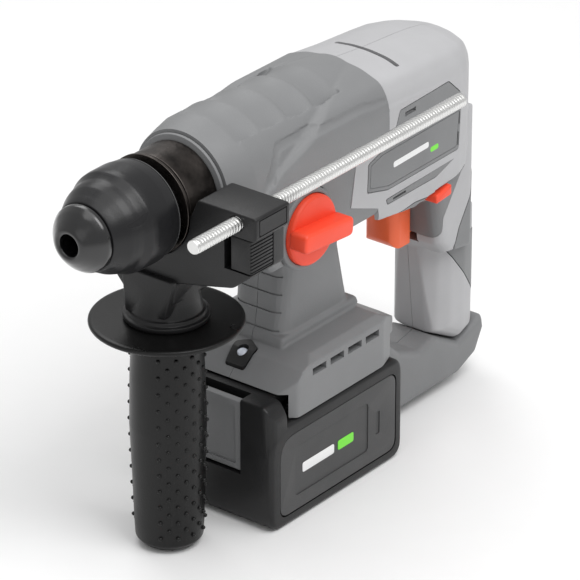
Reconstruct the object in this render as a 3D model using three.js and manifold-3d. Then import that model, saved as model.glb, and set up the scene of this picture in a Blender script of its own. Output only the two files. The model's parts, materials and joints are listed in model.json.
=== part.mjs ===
// Cordless rotary hammer with a D-handle, a side handle, a depth rod and a slide-on battery.
//
// Millimetres, +Z up. The tool is drawn about its own spindle: +X runs forward to the chuck, +Y is
// the tool's left side (the mode knob's side), and the spindle's axis is Y = 0, Z = 0 with the dust
// cap's seam at X = 0. The last lines set the drawing on the middle of the battery's underside.

import * as THREE from 'three';
import { mergeVertices } from 'three/addons/utils/BufferGeometryUtils.js';
import Module from 'manifold-3d';

const wasm = await Module();
wasm.setup();

// ---------------------------------------------------------------- driving dimensions

const GAP = 0.3;                 // clearance between touching pieces
const FINE = 24;                 // sides of the large round pieces
const COARSE = 12;               // sides of the small round pieces

const STAND_HEIGHT = 177;        // spindle axis above the battery's underside
const STAND_X = 137;             // middle of the battery behind the dust cap's seam

const BIT_R = 5.1;               // bore for a 10 mm bit shank
const SPINDLE_R = 13.6;
const SPINDLE_END = -132;

const COLLAR_R = 21.5;           // the usual 43 mm clamping neck
const NECK_FRONT = -45;
const NECK_END = -65;
const COVER_END = -178;
const SIDE = 33.2;               // half the width over the cover's flat sides
const WALL = 3;

const LAY_Z = -25;               // lay shaft under the spindle
const MOTOR_Z = LAY_Z + 15.2;    // motor shaft above the lay shaft
const SPINDLE_GEAR = { teeth: 30, module: 1.25, x: -111, width: 7 };
const LAY_PINION = { teeth: 10, module: 1.25, x: -112, width: 9 };
const LAY_GEAR = { teeth: 30, module: 0.8, x: -163, width: 7 };
const MOTOR_PINION = { teeth: 8, module: 0.8, x: -163.5, width: 8 };
const WOBBLE_X = -142;

const KNOB = { x: -114, z: -29, r: 17, face: 39, bar: 48, tilt: 0.08 };
const CLAMP_X = -55;             // axis of the side handle
const ROD = { y: 50.2, z: 5, r: 3.5, front: -13, end: -211 };
const FLANGE = { r: 36, top: -61, bottom: -64.2 };
const HANDLE_END = -176.6;

const LED_X = -110;
const SCREWS = [{ x: -262, z: -118, head: 17 }, { x: -150, z: -76, head: 16.4 }];

const BATTERY = { front: -86.5, end: -187, top: -124.2, bottom: -177, half: 36 };
const RAIL = { half: 27, groove: 24, top: -117, bottom: -120.4 };

const LIGHT_GREY = '#c8c8ca';
const MID_GREY = '#8f9092';
const DARK_GREY = '#575757';
const BLACK = '#1c1c1d';
const ORANGE = '#f2543a';

// ---------------------------------------------------------------- finishes

function finish(color, roughness, metalness = 0) {
  return new THREE.MeshStandardMaterial({ color, roughness, metalness });
}

const PLASTIC = {
  light: () => finish(LIGHT_GREY, 0.5),
  mid: () => finish(MID_GREY, 0.55),
  dark: () => finish(DARK_GREY, 0.6),
  black: () => finish(BLACK, 0.55),
  orange: () => finish(ORANGE, 0.45),
};
const RUBBER = () => finish('#151515', 0.4);
const STEEL = () => finish('#9b9ca0', 0.35, 1);
const BRIGHT = () => finish('#e4e4e2', 0.3, 1);
const BRONZE = () => finish('#4b4643', 0.4, 1);
const COPPER = () => finish('#b06a3b', 0.4, 1);
const BOARD = () => finish('#1f4d33', 0.6);

// ---------------------------------------------------------------- solids from three.js shapes

function bare(geometry) {
  const copy = geometry.clone();
  for (const name of ['normal', 'uv']) {
    if (copy.attributes[name]) copy.deleteAttribute(name);
  }
  return mergeVertices(copy, 1e-4);
}

function toManifold(geometry) {
  const g = bare(geometry);
  const at = g.attributes.position;
  const ids = Array.from(g.index.array);
  const tri = [];
  let volume = 0;
  const [a, b, c] = [new THREE.Vector3(), new THREE.Vector3(), new THREE.Vector3()];
  for (let i = 0; i < ids.length; i += 3) {
    const [p, q, r] = ids.slice(i, i + 3);
    if (p === q || q === r || r === p) continue;
    tri.push(p, q, r);
    a.fromBufferAttribute(at, p);
    b.fromBufferAttribute(at, q);
    c.fromBufferAttribute(at, r);
    volume += a.dot(b.cross(c));
  }
  if (volume < 0) tri.reverse();
  return new wasm.Manifold(new wasm.Mesh({
    numProp: 3,
    vertProperties: new Float32Array(at.array),
    triVerts: new Uint32Array(tri),
  }));
}

function fromManifold(solid) {
  const mesh = solid.getMesh();
  const g = new THREE.BufferGeometry();
  g.setAttribute('position', new THREE.BufferAttribute(new Float32Array(mesh.vertProperties), 3));
  g.setIndex(new THREE.BufferAttribute(new Uint32Array(mesh.triVerts), 1));
  g.computeVertexNormals();
  return g;
}

function join(first, ...others) {
  const all = others.reduce((sum, g) => sum.add(toManifold(g)), toManifold(first));
  return fromManifold(all);
}

function cut(first, ...others) {
  const rest = others.reduce((left, g) => left.subtract(toManifold(g)), toManifold(first));
  return fromManifold(rest);
}

function keep(first, ...others) {
  const common = others.reduce((left, g) => left.intersect(toManifold(g)), toManifold(first));
  return fromManifold(common);
}

// A box from its lowest to its highest corner.
function box(x, y, z) {
  const g = new THREE.BoxGeometry(x[1] - x[0], y[1] - y[0], z[1] - z[0]);
  return g.translate((x[0] + x[1]) / 2, (y[0] + y[1]) / 2, (z[0] + z[1]) / 2);
}

// A profile of [along, radius] turned about an axis that runs along +X, +Y or +Z through a point.
function turned(axis, profile, centre = [0, 0, 0], sides = FINE) {
  const points = profile.map(([along, r]) => new THREE.Vector2(r, along));
  const g = new THREE.LatheGeometry(points, sides);
  if (axis === 'x') g.rotateZ(-Math.PI / 2);
  if (axis === 'z') g.rotateX(Math.PI / 2);
  return g.translate(...centre);
}

// A plain rod, or a tube when an inner radius is given, between two places along an axis.
function rod(axis, from, to, r, centre = [0, 0, 0], sides = COARSE, inner = 0) {
  const outside = [[from, r], [to, r]];
  const profile = [[from, inner], ...outside, [to, inner]];
  if (inner > 0) profile.push([from, inner]);
  return turned(axis, profile, centre, sides);
}

// An outline with every corner rounded; a corner is [u, v] or [u, v, its own radius].
function rounded(corners, radius = 2) {
  const shape = new THREE.Shape();
  const count = corners.length;
  for (let i = 0; i < count; i += 1) {
    const here = new THREE.Vector2(corners[i][0], corners[i][1]);
    const r = corners[i][2] ?? radius;
    const before = new THREE.Vector2(...corners[(i + count - 1) % count].slice(0, 2));
    const after = new THREE.Vector2(...corners[(i + 1) % count].slice(0, 2));
    const into = here.clone().sub(before);
    const out = after.clone().sub(here);
    const reachIn = Math.min(r, into.length() / 2.1);
    const reachOut = Math.min(r, out.length() / 2.1);
    const start = here.clone().sub(into.setLength(reachIn));
    const end = here.clone().add(out.setLength(reachOut));
    if (i === 0) shape.moveTo(start.x, start.y);
    else shape.lineTo(start.x, start.y);
    if (r > 0) shape.quadraticCurveTo(here.x, here.y, end.x, end.y);
  }
  shape.closePath();
  return shape;
}

function sharp(corners) {
  return rounded(corners, 0);
}

// A side-view outline (X, Z) given a width across Y; edge rounds its long edges, inset shrinks it.
function slab(shape, halfWidth, { edge = 0, inset = 0, steps = 2, curve = 2, y = 0 } = {}) {
  const g = new THREE.ExtrudeGeometry(shape, {
    depth: 2 * (halfWidth - inset - edge),
    bevelEnabled: edge > 0 || inset > 0,
    bevelThickness: edge,
    bevelSize: edge,
    bevelOffset: -edge - inset,
    bevelSegments: steps,
    curveSegments: curve,
  });
  return g.rotateX(Math.PI / 2).translate(0, y + halfWidth - inset - edge, 0);
}

// A plan-view outline (X, Y) between two heights.
function plan(shape, low, high, curve = 2) {
  const depth = high - low;
  const g = new THREE.ExtrudeGeometry(shape, { depth, bevelEnabled: false, curveSegments: curve });
  return g.translate(0, 0, low);
}

// A front-view section run along X; each station gives its place, half width and top. Everything
// scales with them about a height.
function tapered(section, stations, height) {
  const wide = Math.max(...section.map(([y]) => y));
  const high = Math.max(...section.map(([, z]) => z)) - height;
  const points = [];
  for (const [x, half, top] of stations) {
    for (const [y, z] of section) {
      points.push(x, (y * half) / wide, height + ((z - height) * (top - height)) / high);
    }
  }
  const count = section.length;
  const faces = [];
  for (let ring = 0; ring < stations.length - 1; ring += 1) {
    for (let i = 0; i < count; i += 1) {
      const [a, b] = [ring * count + i, ring * count + ((i + 1) % count)];
      faces.push(a, b, b + count, a, b + count, a + count);
    }
  }
  const last = (stations.length - 1) * count;
  for (let i = 1; i < count - 1; i += 1) faces.push(0, i + 1, i, last, last + i, last + i + 1);
  const g = new THREE.BufferGeometry();
  g.setAttribute('position', new THREE.Float32BufferAttribute(points, 3));
  return g.setIndex(faces);
}

// A plan-view outline mirrored about the middle from the points on one side.
function mirrored(side) {
  return sharp([...side, ...side.map(([x, y]) => [x, -y]).reverse()]);
}

// A front-view outline (Y, Z) between two places along X.
function crossways(shape, from, to, curve = 2) {
  const depth = to - from;
  const g = new THREE.ExtrudeGeometry(shape, { depth, bevelEnabled: false, curveSegments: curve });
  return g.rotateZ(Math.PI / 2).rotateY(Math.PI / 2).translate(from, 0, 0);
}

// A housing parted down the middle into its left and right halves.
function halves(whole) {
  const [x, z] = [[-400, 0], [-300, 60]];
  return [cut(whole, box(x, [-60, GAP / 2], z)), cut(whole, box(x, [-GAP / 2, 60], z))];
}

// A spur gear about X with slim, shallow teeth; one tooth, or one gap, points at the angle `aim`.
function gear({ teeth, module, x, width }, z, aim, gapAtAim) {
  const pitch = (Math.PI * 2) / teeth;
  const r = (teeth * module) / 2;
  const root = r - 1.1 * module;
  const tip = r + 0.6 * module;
  const first = aim + (gapAtAim ? pitch / 2 : 0);
  const shape = new THREE.Shape();
  const flank = [[-0.27, root], [-0.12, tip], [0.12, tip], [0.27, root]];
  for (let i = 0; i < teeth; i += 1) {
    for (const [part, radius] of flank) {
      const angle = first + (i + part) * pitch;
      const point = [radius * Math.cos(angle), radius * Math.sin(angle)];
      if (i === 0 && part === flank[0][0]) shape.moveTo(...point);
      else shape.lineTo(...point);
    }
  }
  shape.closePath();
  return crossways(shape, x, x + width).translate(0, 0, z);
}

class Helix extends THREE.Curve {
  constructor(axis, from, to, radius, turns, centre) {
    super();
    Object.assign(this, { axis, from, to, radius, turns, centre });
  }

  getPoint(t, target = new THREE.Vector3()) {
    const angle = t * this.turns * Math.PI * 2;
    const along = this.from + t * (this.to - this.from);
    const c = this.radius * Math.cos(angle);
    const s = this.radius * Math.sin(angle);
    const [x, y, z] = this.centre;
    return this.axis === 'x' ? target.set(along, y + c, z + s) : target.set(x + c, along, z + s);
  }
}

// A wire spring between two places along an axis.
function spring(axis, from, to, radius, wire, turns, centre = [0, 0, 0]) {
  const section = new THREE.Shape();
  const sides = 4;
  for (let i = 0; i < sides; i += 1) {
    const angle = (i / sides) * Math.PI * 2;
    const point = [(wire / 2) * Math.cos(angle), (wire / 2) * Math.sin(angle)];
    if (i === 0) section.moveTo(...point);
    else section.lineTo(...point);
  }
  section.closePath();
  return new THREE.ExtrudeGeometry(section, {
    steps: turns * 8,
    bevelEnabled: false,
    extrudePath: new Helix(axis, from + wire, to - wire, radius, turns, centre),
  });
}

// ---------------------------------------------------------------- the assembly

const tool = new THREE.Group();
tool.position.set(STAND_X, 0, STAND_HEIGHT);

function add(name, geometry, material) {
  const mesh = new THREE.Mesh(fromManifold(toManifold(geometry)), material);
  mesh.name = name;
  tool.add(mesh);
}

// ---------------------------------------------------------------- chuck and spindle

function chuck() {
  add('dust_cap', turned('x', [
    [GAP, 5.4], [GAP, 16], [3, 15.9], [6, 13.9], [9, 11], [11.2, 8.4], [12, 7], [11.4, 5.4], [GAP, 5.4],
  ]), RUBBER());
  add('locking_sleeve', turned('x', [
    [0, 10.2], [0, 16.5], [-4, 18.4], [-8, 20.6], [-10, 21.5], [-14, 22.2], [-17.5, 24.3], [-20, 24.6],
    [-30, 24.6], [-37, 23.6], [-37, 15], [-6, 15], [-6, 10.2], [0, 10.2],
  ]), PLASTIC.black());
  add('sleeve_spring', spring('x', -24, -6.2, 12.9, 1.5, 5), STEEL());
  add('neck_ring', turned('x', [
    [-44.6, 14.2], [-44.6, 24], [-42, 24], [-42, 14.2], [-44.6, 14.2],
  ]), STEEL());

  const tube = turned('x', [
    [0, BIT_R], [0, 9.8], [-24.3, 9.8], [-24.3, 14.5], [-29, 14.5], [-31, SPINDLE_R],
    [SPINDLE_END, SPINDLE_R], [SPINDLE_END, 10.3], [-72, 10.3], [-72, 7.6], [-34, 7.6],
    [-34, BIT_R], [0, BIT_R],
  ]);
  const windows = rod('y', -12, 12, 3.6, [-15, 0, 0]);
  add('spindle_tube', cut(tube, windows), STEEL());
  for (const [side, y] of [['left', 8.2], ['right', -8.2]]) {
    add(`locking_ball_${side}`, new THREE.SphereGeometry(3.1, 8, 6).translate(-15, y, 0), BRIGHT());
  }
  const wheel = gear(SPINDLE_GEAR, 0, -Math.PI / 2, false);
  add('spindle_gear', cut(wheel, rod('x', -115, -100, SPINDLE_R + GAP, [0, 0, 0], FINE)), STEEL());
  add('front_bearing', rod('x', -60, -50, 18.1, [0, 0, 0], FINE, SPINDLE_R + GAP), BRIGHT());
  add('rear_bearing', rod('x', -130, -124, 17.4, [0, 0, 0], FINE, SPINDLE_R + GAP), COPPER());
}

// ---------------------------------------------------------------- hammer mechanism

function hammerMechanism() {
  add('impact_bolt', turned('x', [
    [-88, 0], [-88, 5], [-66, 5], [-66, 7.3], [-46, 7.3], [-44, 5], [-44, 0],
  ], [0, 0, 0], COARSE), STEEL());
  add('striker', turned('x', [
    [-120, 0], [-120, 7.3], [-106, 7.3], [-104, 5.5], [-104, 0],
  ], [0, 0, 0], COARSE), STEEL());

  const barrel = turned('x', [
    [-134, 0], [-134, 10], [-96, 10], [-96, 7.6], [-131, 7.6], [-131, 0],
  ], [0, 0, 0], COARSE);
  const fork = box([WOBBLE_X - 8, -133], [-7.5, 7.5], [-5.5, 5.5]);
  const fingerHole = rod('z', -8, 8, 4.3, [WOBBLE_X, 0, 0]);
  add('piston', cut(join(barrel, fork), fingerHole), finish('#b9babc', 0.4, 1));

  const hub = cut(
    new THREE.SphereGeometry(10.4, 16, 10).translate(WOBBLE_X, 0, LAY_Z),
    box([WOBBLE_X - 12, WOBBLE_X - 7.5], [-12, 12], [LAY_Z - 12, LAY_Z + 12]),
    box([WOBBLE_X + 7.5, WOBBLE_X + 12], [-12, 12], [LAY_Z - 12, LAY_Z + 12]),
    rod('x', WOBBLE_X - 12, WOBBLE_X + 12, 5 + GAP, [0, 0, LAY_Z]),
  );
  add('wobble_hub', hub, STEEL());
  const ring = cut(
    rod('x', WOBBLE_X - 4, WOBBLE_X + 4, 14.5, [0, 0, LAY_Z], 20),
    new THREE.SphereGeometry(11.2, 16, 12).translate(WOBBLE_X, 0, LAY_Z),
  );
  const finger = rod('z', LAY_Z + 12.5, -1, 2.2, [WOBBLE_X, 0, 0], 12);
  const ball = new THREE.SphereGeometry(3.6, 10, 8).translate(WOBBLE_X, 0, 0);
  add('wobble_ring', join(ring, finger, ball), STEEL());

  const shaft = turned('x', [
    [-170, 0], [-170, 3.5], [-164.5, 3.5], [-164.5, 5], [-94.5, 5], [-94.5, 3.5], [-88.5, 3.5], [-88.5, 0],
  ], [0, 0, LAY_Z], COARSE);
  add('lay_shaft', join(shaft, gear(LAY_PINION, LAY_Z, Math.PI / 2, true)), STEEL());
  const bore = rod('x', -170, -150, 5 + GAP, [0, 0, LAY_Z]);
  add('lay_gear', cut(gear(LAY_GEAR, LAY_Z, Math.PI / 2, false), bore), STEEL());
  add('lay_bearing_front', rod('x', -94, -89, 6.5, [0, 0, LAY_Z], COARSE, 3.5 + GAP), BRIGHT());
  add('lay_bearing_rear', rod('x', -170, -165, 6.5, [0, 0, LAY_Z], COARSE, 3.5 + GAP), BRIGHT());
}

// ---------------------------------------------------------------- motor

function motor() {
  const shaft = rod('x', -252, -156, 2.3, [0, 0, MOTOR_Z], 12);
  add('rotor_shaft', join(shaft, gear(MOTOR_PINION, MOTOR_Z, -Math.PI / 2, true)), STEEL());
  add('rotor_core', rod('x', -226, -192, 12.6, [0, 0, MOTOR_Z], COARSE, 2.3 + GAP), COPPER());
  add('commutator', rod('x', -243, -232, 8, [0, 0, MOTOR_Z], COARSE, 2.3 + GAP), COPPER());

  const disc = rod('x', -186, -184, 20, [0, 0, MOTOR_Z], FINE);
  const boss = rod('x', -186, -176, 5, [0, 0, MOTOR_Z], 12);
  const shaftHole = rod('x', -190, -170, 2.3 + GAP, [0, 0, MOTOR_Z], 12);
  const blades = [];
  const count = 9;
  for (let i = 0; i < count; i += 1) {
    const blade = box([-185, -177], [8, 19], [-0.7, 0.7]);
    blades.push(blade.rotateX((i / count) * Math.PI * 2).translate(0, 0, MOTOR_Z));
  }
  add('cooling_fan', cut(join(disc, boss, ...blades), shaftHole), PLASTIC.black());

  add('motor_can', turned('x', [
    [-244, 13.4], [-244, 22], [-189, 22], [-189, 13.4], [-244, 13.4],
  ], [0, 0, MOTOR_Z]), STEEL());
  add('brush_holder', join(
    rod('x', -251, -249.3, 18.5, [0, 0, MOTOR_Z], 24, 6),
    box([-250, -233.5], [8.4, 12.9], [MOTOR_Z - 2.5, MOTOR_Z + 2.5]),
    box([-250, -233.5], [-12.9, -8.4], [MOTOR_Z - 2.5, MOTOR_Z + 2.5]),
  ), finish('#2b2b2b', 0.8));
  add('motor_bearing_front', rod('x', -170, -165, 6.3, [0, 0, MOTOR_Z], COARSE, 2.3 + GAP), BRIGHT());
  add('motor_bearing_rear', rod('x', -249, -244.5, 6.5, [0, 0, MOTOR_Z], COARSE, 2.3 + GAP), BRIGHT());

  const face = rounded([[-22, -42], [22, -42], [21, -12], [13, 19], [-13, 19], [-21, -12]], 8);
  add('bearing_plate', cut(
    crossways(face, -170, -165.2),
    rod('x', -172, -160, 6.5 + GAP, [0, 0, LAY_Z]),
    rod('x', -172, -160, 6.3 + GAP, [0, 0, MOTOR_Z]),
  ), finish('#a9aaac', 0.5, 1));
}

// ---------------------------------------------------------------- gear cover

const COVER_SIDE = [
  [-76, -8], [-86, -38], [-93, -46], [-172, -46], [COVER_END, -42], [COVER_END, 26], [-140, 19], [-100, 6],
];
const CHEEK = [
  [COVER_END, 2], [-152, -13], [-148.5, -32.5], [-170, -41], [-171, -48], [-200, -52], [-245, -48],
  [-263, -30], [-263, -8], [-257, 2],
];
// The front view of the housings' shoulders, from the left flat side over the top to the right one.
const SHOULDERS = [
  [SIDE, -20], [SIDE, 2], [32.2, 11], [27.6, 18.6], [16, 22.8], [5, 24.2],
  [-5, 24.2], [-16, 22.8], [-27.6, 18.6], [-32.2, 11], [-SIDE, 2], [-SIDE, -20], [-26, -36], [26, -36],
];

function gearCover() {
  const underside = box([COVER_END, -70], [-SIDE, SIDE], [-50, -18]);
  const outside = join(
    turned('x', [
      [COVER_END, 0], [COVER_END, 24.6], [-160, 27.2], [-138, 28.6], [-117, 29.6], [-100, 30.2],
      [-83, 30.4], [-74, 28.6], [-66.5, 26.8], [NECK_END, 25.4], [NECK_END, COLLAR_R],
      [NECK_FRONT, COLLAR_R], [NECK_FRONT, 0],
    ]),
    keep(
      slab(sharp(COVER_SIDE), SIDE, { edge: 6 }),
      join(tapered(SHOULDERS, [[COVER_END, SIDE, 24.2], [-70, SIDE, 24.2]], -9), underside),
    ),
  );
  const hollow = join(
    turned('x', [
      [COVER_END - 5, 0], [COVER_END - 5, 21.6], [-160, 24.2], [-138, 25.6], [-117, 26.6], [-100, 27.2],
      [-83, 27.2], [-74, 25.4], [-69, 23.4], [-62, 18.4], [NECK_FRONT + 2, 18.4], [NECK_FRONT + 2, 0],
    ]),
    keep(slab(sharp(COVER_SIDE), SIDE, { edge: 4, inset: WALL }), box([-200, -70], [-40, 40], [-50, 4])),
    box([COVER_END - 2, COVER_END + 5], [-24, 24], [-40, 10]),
  );
  const frontRib = cut(
    box([-94, -89], [-40, 40], [-50, -16]),
    rod('x', -100, -80, 6.5 + GAP, [0, 0, LAY_Z]),
  );
  const rearRib = cut(
    box([-130, -124], [-40, 40], [-15, 40]),
    rod('x', -140, -120, 17.4 + GAP, [0, 0, 0], FINE),
  );
  const cheekWindow = slab(sharp(CHEEK.map(([x, z]) => [x < COVER_END ? -300 : x + GAP, z])), 40);
  add('gear_cover', cut(
    outside,
    cut(hollow, frontRib, rearRib),
    cut(cheekWindow, box([-300, 0], [WALL + GAP - SIDE, SIDE - WALL - GAP], [-100, 100])),
    rod('y', 26, 40, 19.9, [KNOB.x, 0, KNOB.z], FINE),
    rod('y', 0, 30, 6.6, [KNOB.x, 0, KNOB.z]),
  ), PLASTIC.mid());
}

// ---------------------------------------------------------------- motor housing and D-handle

const YOKE = [
  [-180, -38], [-180, -52], [-200, -57.5], [-227, -62], [-232, -88], [-238, -95], [-262, -99],
  [-277, -92], [-271, -60], [-266, -26], [-230, -26],
];
const GRIP = [
  [-232, -84], [-238, -96], [-241, -126], [-243, -143.2], [-262, -153.4], [-281.5, -146.6], [-282, -140],
  [-280.5, -110], [-277, -84], [-262, -76],
];
const BARREL_Z = -9;
const BARREL = [
  [COVER_END - GAP, 32.7, 24], [-199, 32.1, 21.7], [-225, 31.3, 20], [-236, 31, 18.9], [-246, 28, 17.4],
  [-256, 21.6, 14.2], [-261, 16, 11], [-263.6, 11, 4],
];
const CHEEK_PLAN = [[-264.6, 6], [-261, 16], [-256, 21.6], [-246, 28], [-236, 31], [-140, 33.8]];
const YOKE_PLAN = [[-276, 8], [-266, 17], [-256, 24], [-170, 24]];
const GRIP_PLAN = [
  [-283, 4], [-278, 9.5], [-271, 14], [-262, 16.5], [-252, 16.3], [-245, 13], [-240, 8], [-237, 3],
];

// The room, full height, over a plan outline given by half its points and shrunk by a wall.
function footprint(side, wall = 0) {
  return plan(mirrored(side.map(([x, y]) => [x + wall, Math.max(y - wall, 1)])), -170, 30);
}

function motorHousing() {
  const barrel = tapered(SHOULDERS, BARREL, BARREL_Z);
  const room = turned('x', [
    [-258, 0], [-256, 14], [-249, 22], [-225, 26], [-200, 27.4], [COVER_END + 5, 27.6], [COVER_END + 5, 0],
  ], [0, 0, BARREL_Z]);
  const outside = join(
    barrel,
    keep(slab(sharp(CHEEK), 34, { edge: 3 }), footprint(CHEEK_PLAN)),
    keep(slab(sharp(YOKE), 24, { edge: 6 }), footprint(YOKE_PLAN)),
    keep(slab(sharp(GRIP), 16.5, { edge: 9, steps: 3 }), footprint(GRIP_PLAN)),
  );
  const roomHalf = SIDE - WALL;
  const inside = join(
    room,
    keep(
      cut(slab(sharp(CHEEK), 34, { edge: 2, inset: WALL }), box([-179, 0], [-40, 40], [-60, 5])),
      footprint(CHEEK_PLAN, WALL),
    ),
    box([-190, -140], [-roomHalf, roomHalf], [-45, 5]),
    box([COVER_END - GAP, -140], [-roomHalf, roomHalf], [-60, 5]),
    keep(slab(sharp(YOKE), 24, { edge: 4, inset: WALL }), footprint(YOKE_PLAN, WALL)),
    keep(slab(sharp(GRIP), 16.5, { edge: 6, inset: WALL }), footprint(GRIP_PLAN, WALL)),
  );
  const whole = cut(
    outside,
    inside,
    box([-246, -205], [-10.2, 10.2], [-89.5, -59]),
    box([-229.6, -216.4], [-40, 40], [-58.5, -49.5]),
    box([-200.4, -197.6], [-15, 22], [5, 60]),
  );
  const [left, right] = halves(whole);
  add('motor_housing_left', left, PLASTIC.light());
  add('motor_housing_right', cut(right, screw(SCREWS[0], GAP)), PLASTIC.light());
}

// ---------------------------------------------------------------- column, foot and lower link

const COLUMN = [
  [-118, -46.6], [-122, -62], [-121, -80], [-117, -104], [-176, -104], [-171, -84], [-166, -62],
  [-171, -46.6],
];
const FOOT_SIDE = [
  [-99, -111], [-99, -123.6], [-195.5, -123.6], [-195.5, -110], [-184, -103], [-172, -97],
  [-120, -97], [-110, -101],
];
const FOOT_PLAN = [[-195.5, 16], [-185, 31], [-171, 36], [-106, 36], [-99, 28]];
const LINK = [
  [-189.4, -108], [-196, -112], [-203, -130], [-214, -140], [-230, -146.5], [-243, -143.8],
  [-262, -154], [-282.2, -147.2], [-283.5, -154], [-277, -166], [-262, -172], [-189.4, -172],
];

function baseHousing() {
  const outside = join(
    slab(sharp(COLUMN), 16, { edge: 8, steps: 3 }),
    keep(slab(sharp(FOOT_SIDE), 36, { edge: 4 }), plan(mirrored(FOOT_PLAN), -130, -90)),
    slab(sharp(LINK), 14.5, { edge: 3 }),
  );
  const inside = join(
    slab(sharp(COLUMN), 16, { edge: 5, inset: WALL }),
    box([-168, -124], [-12, 12], [-120, -60]),
    cut(
      box([-189, -80], [-32.5, 32.5], [-130, -111]),
      box([-189, -80], [RAIL.groove + 0.4, 40], [RAIL.bottom + GAP, RAIL.top - GAP]),
      box([-189, -80], [-40, -RAIL.groove - 0.4], [RAIL.bottom + GAP, RAIL.top - GAP]),
    ),
    slab(sharp(LINK), 14.5, { inset: WALL }),
    rod('z', -115, -90, 4.3, [LED_X, 0, 0]),
    rod('z', -101.2, -90, 6.6, [LED_X, 0, 0]),
  );
  const vents = [];
  for (let i = 0; i < 4; i += 1) {
    const x = -127 - i * 13.5;
    for (const y of [[20, 40], [-40, -20]]) vents.push(box([x, x + 10.3], y, [-105.2, -101.9]));
  }
  const ventRoom = box([-172, -114], [-29, 29], [-115, -101]);
  const whole = cut(outside, inside, keep(ventRoom, slab(sharp(FOOT_SIDE), 36, { inset: WALL })), ...vents);
  const [left, right] = halves(whole);
  add('base_housing_left', left, PLASTIC.mid());
  add('base_housing_right', cut(right, screw(SCREWS[1], GAP)), PLASTIC.mid());
}

// ---------------------------------------------------------------- panels on the housing

function panels() {
  const label = rounded([
    [-163, -15], [-172.8, -12.7], [-237, -13], [-238, -16], [-234.5, -33.5], [-178.7, -33.5],
    [-161.5, -29.4],
  ], 2);
  const lean = Math.atan2(2.8, 96);
  for (const [side, y] of [['left', 1], ['right', -1]]) {
    const plate = slab(label, 0.7, { edge: 0.4, steps: 1 }).translate(200, 0, 0);
    plate.rotateZ(y * lean).translate(-200, y * 33.2, 0);
    add(`label_panel_${side}`, plate, PLASTIC.mid());
  }
}

// ---------------------------------------------------------------- controls

function controls() {
  const seat = cut(
    turned('y', [
      [26.3, 0], [26.3, 19.6], [35.4, 19.6], [36, 18.9], [36, 0],
    ], [KNOB.x, 0, KNOB.z]),
    rod('y', 33, 40, KNOB.r + GAP, [KNOB.x, 0, KNOB.z], FINE),
    rod('y', 20, 40, 6 + GAP, [KNOB.x, 0, KNOB.z]),
  );
  add('mode_seat', seat, PLASTIC.mid());
  const disc = rod('y', 33.3, KNOB.face, KNOB.r, [KNOB.x, 0, KNOB.z], FINE);
  const bar = box([-18, 18], [KNOB.face - 1, KNOB.bar], [-4.7, 4.7])
    .rotateY(-KNOB.tilt)
    .translate(KNOB.x, 0, KNOB.z);
  const stem = rod('y', 14, 34, 6, [KNOB.x, 0, KNOB.z]);
  const pin = rod('y', 9.6, 15, 1.6, [KNOB.x - 3.5, 0, KNOB.z], 10);
  add('mode_knob', join(disc, bar, stem, pin), PLASTIC.orange());

  const side = sharp([[-211, -66], [-213, -84], [-217, -88.4], [-228, -88.4], [-228, -60], [-214, -60]]);
  const nose = plan(mirrored([[-228, 9.7], [-218, 9.7], [-214, 6], [-211.6, 2]]), -90, -58);
  const tail = box([-236, -226], [-6, 6], [-85, -63]);
  add('trigger', join(keep(slab(side, 9.7, { edge: 2 }), nose), tail), PLASTIC.orange());
  add('trigger_spring', spring('x', -245, -236.2, 3, 0.9, 5, [0, 0, -70]), STEEL());
  add('switch_box', box([-267, -245.4], [-8.5, 8.5], [-90, -64]), PLASTIC.black());
  const wedge = sharp([[-217, -57], [-229, -56], [-229, -50.5], [-217, -52.5]]);
  add('direction_switch', slab(wedge, 32.4, { edge: 1, steps: 1 }), PLASTIC.orange());
  add('control_board', box([-160, -128], [-0.8, 0.8], [-96, -66]), BOARD());

  const bezel = turned('z', [
    [-98.4, 0], [-98.4, 5.6], [-100.9, 6.2], [-100.9, 4], [-108, 4], [-108, 0],
  ], [LED_X, 0, 0], COARSE);
  add('led_bezel', cut(bezel, rod('z', -104, -90, 2.9, [LED_X, 0, 0])), PLASTIC.black());
  const lens = [[-103.8, 0], [-103.8, 2.5], [-98.6, 2.5], [-97.6, 1.4], [-97.4, 0]];
  add('led_lens', turned('z', lens, [LED_X, 0, 0], COARSE), finish('#f4f6ff', 0.1));
}

// ---------------------------------------------------------------- side handle, its clamp and the depth rod

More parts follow.
